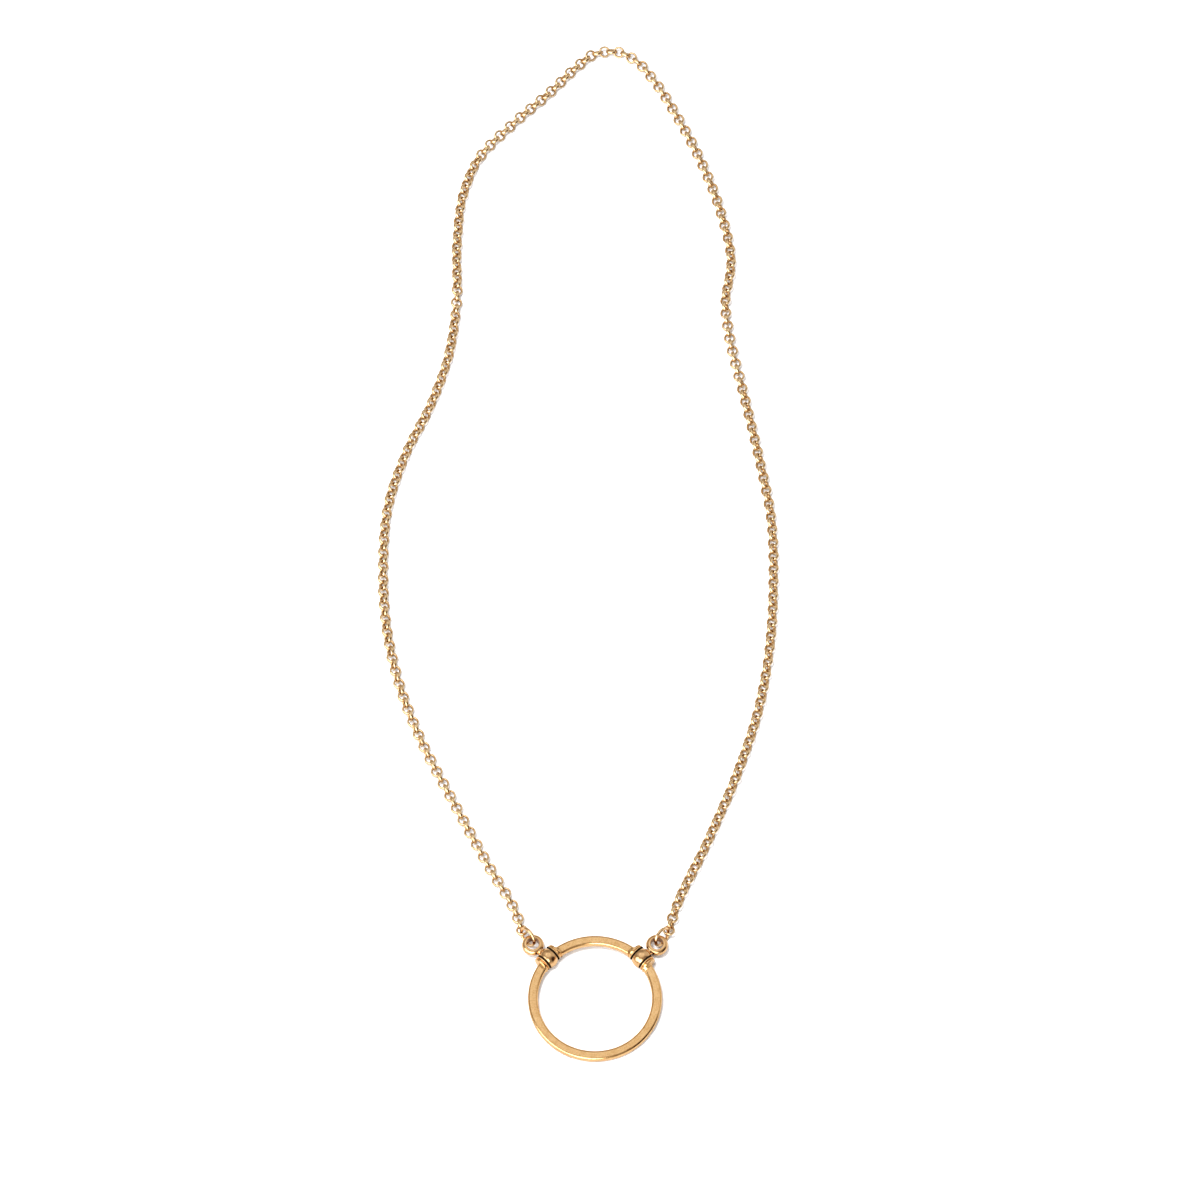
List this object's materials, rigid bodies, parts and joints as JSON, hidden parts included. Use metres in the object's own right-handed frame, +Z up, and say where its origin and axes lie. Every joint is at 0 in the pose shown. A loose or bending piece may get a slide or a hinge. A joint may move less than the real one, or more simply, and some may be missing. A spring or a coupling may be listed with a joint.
{
  "type": "eyeglass holder pendant necklace",
  "caption": "Gilt brass necklace that holds eyeglasses: a plain ring pendant on two swivelling bead bails, hung from a long fine rolo chain.",
  "frame": {"origin": "Centre of the necklace's box on the table that it lies on.", "axes": "+Y runs along the necklace from the ring pendant towards the back of the neck, +X to the right as it is seen from above, +Z up from the table."},
  "size_m": [0.129, 0.3708, 0.0068],
  "materials": {
    "ring_gold": "matte gold plate with a fine satin grain",
    "bail_gold": "polished gold plate",
    "link_gold": "polished gold plate",
    "chain_gold": "polished gold plate"
  },
  "bodies": {
    "root": {"ring": "ring_gold", "left_bail": "bail_gold", "right_bail": "bail_gold", "left_end_link": "link_gold", "right_end_link": "link_gold", "chain": "chain_gold"}
  },
  "joints": []
}
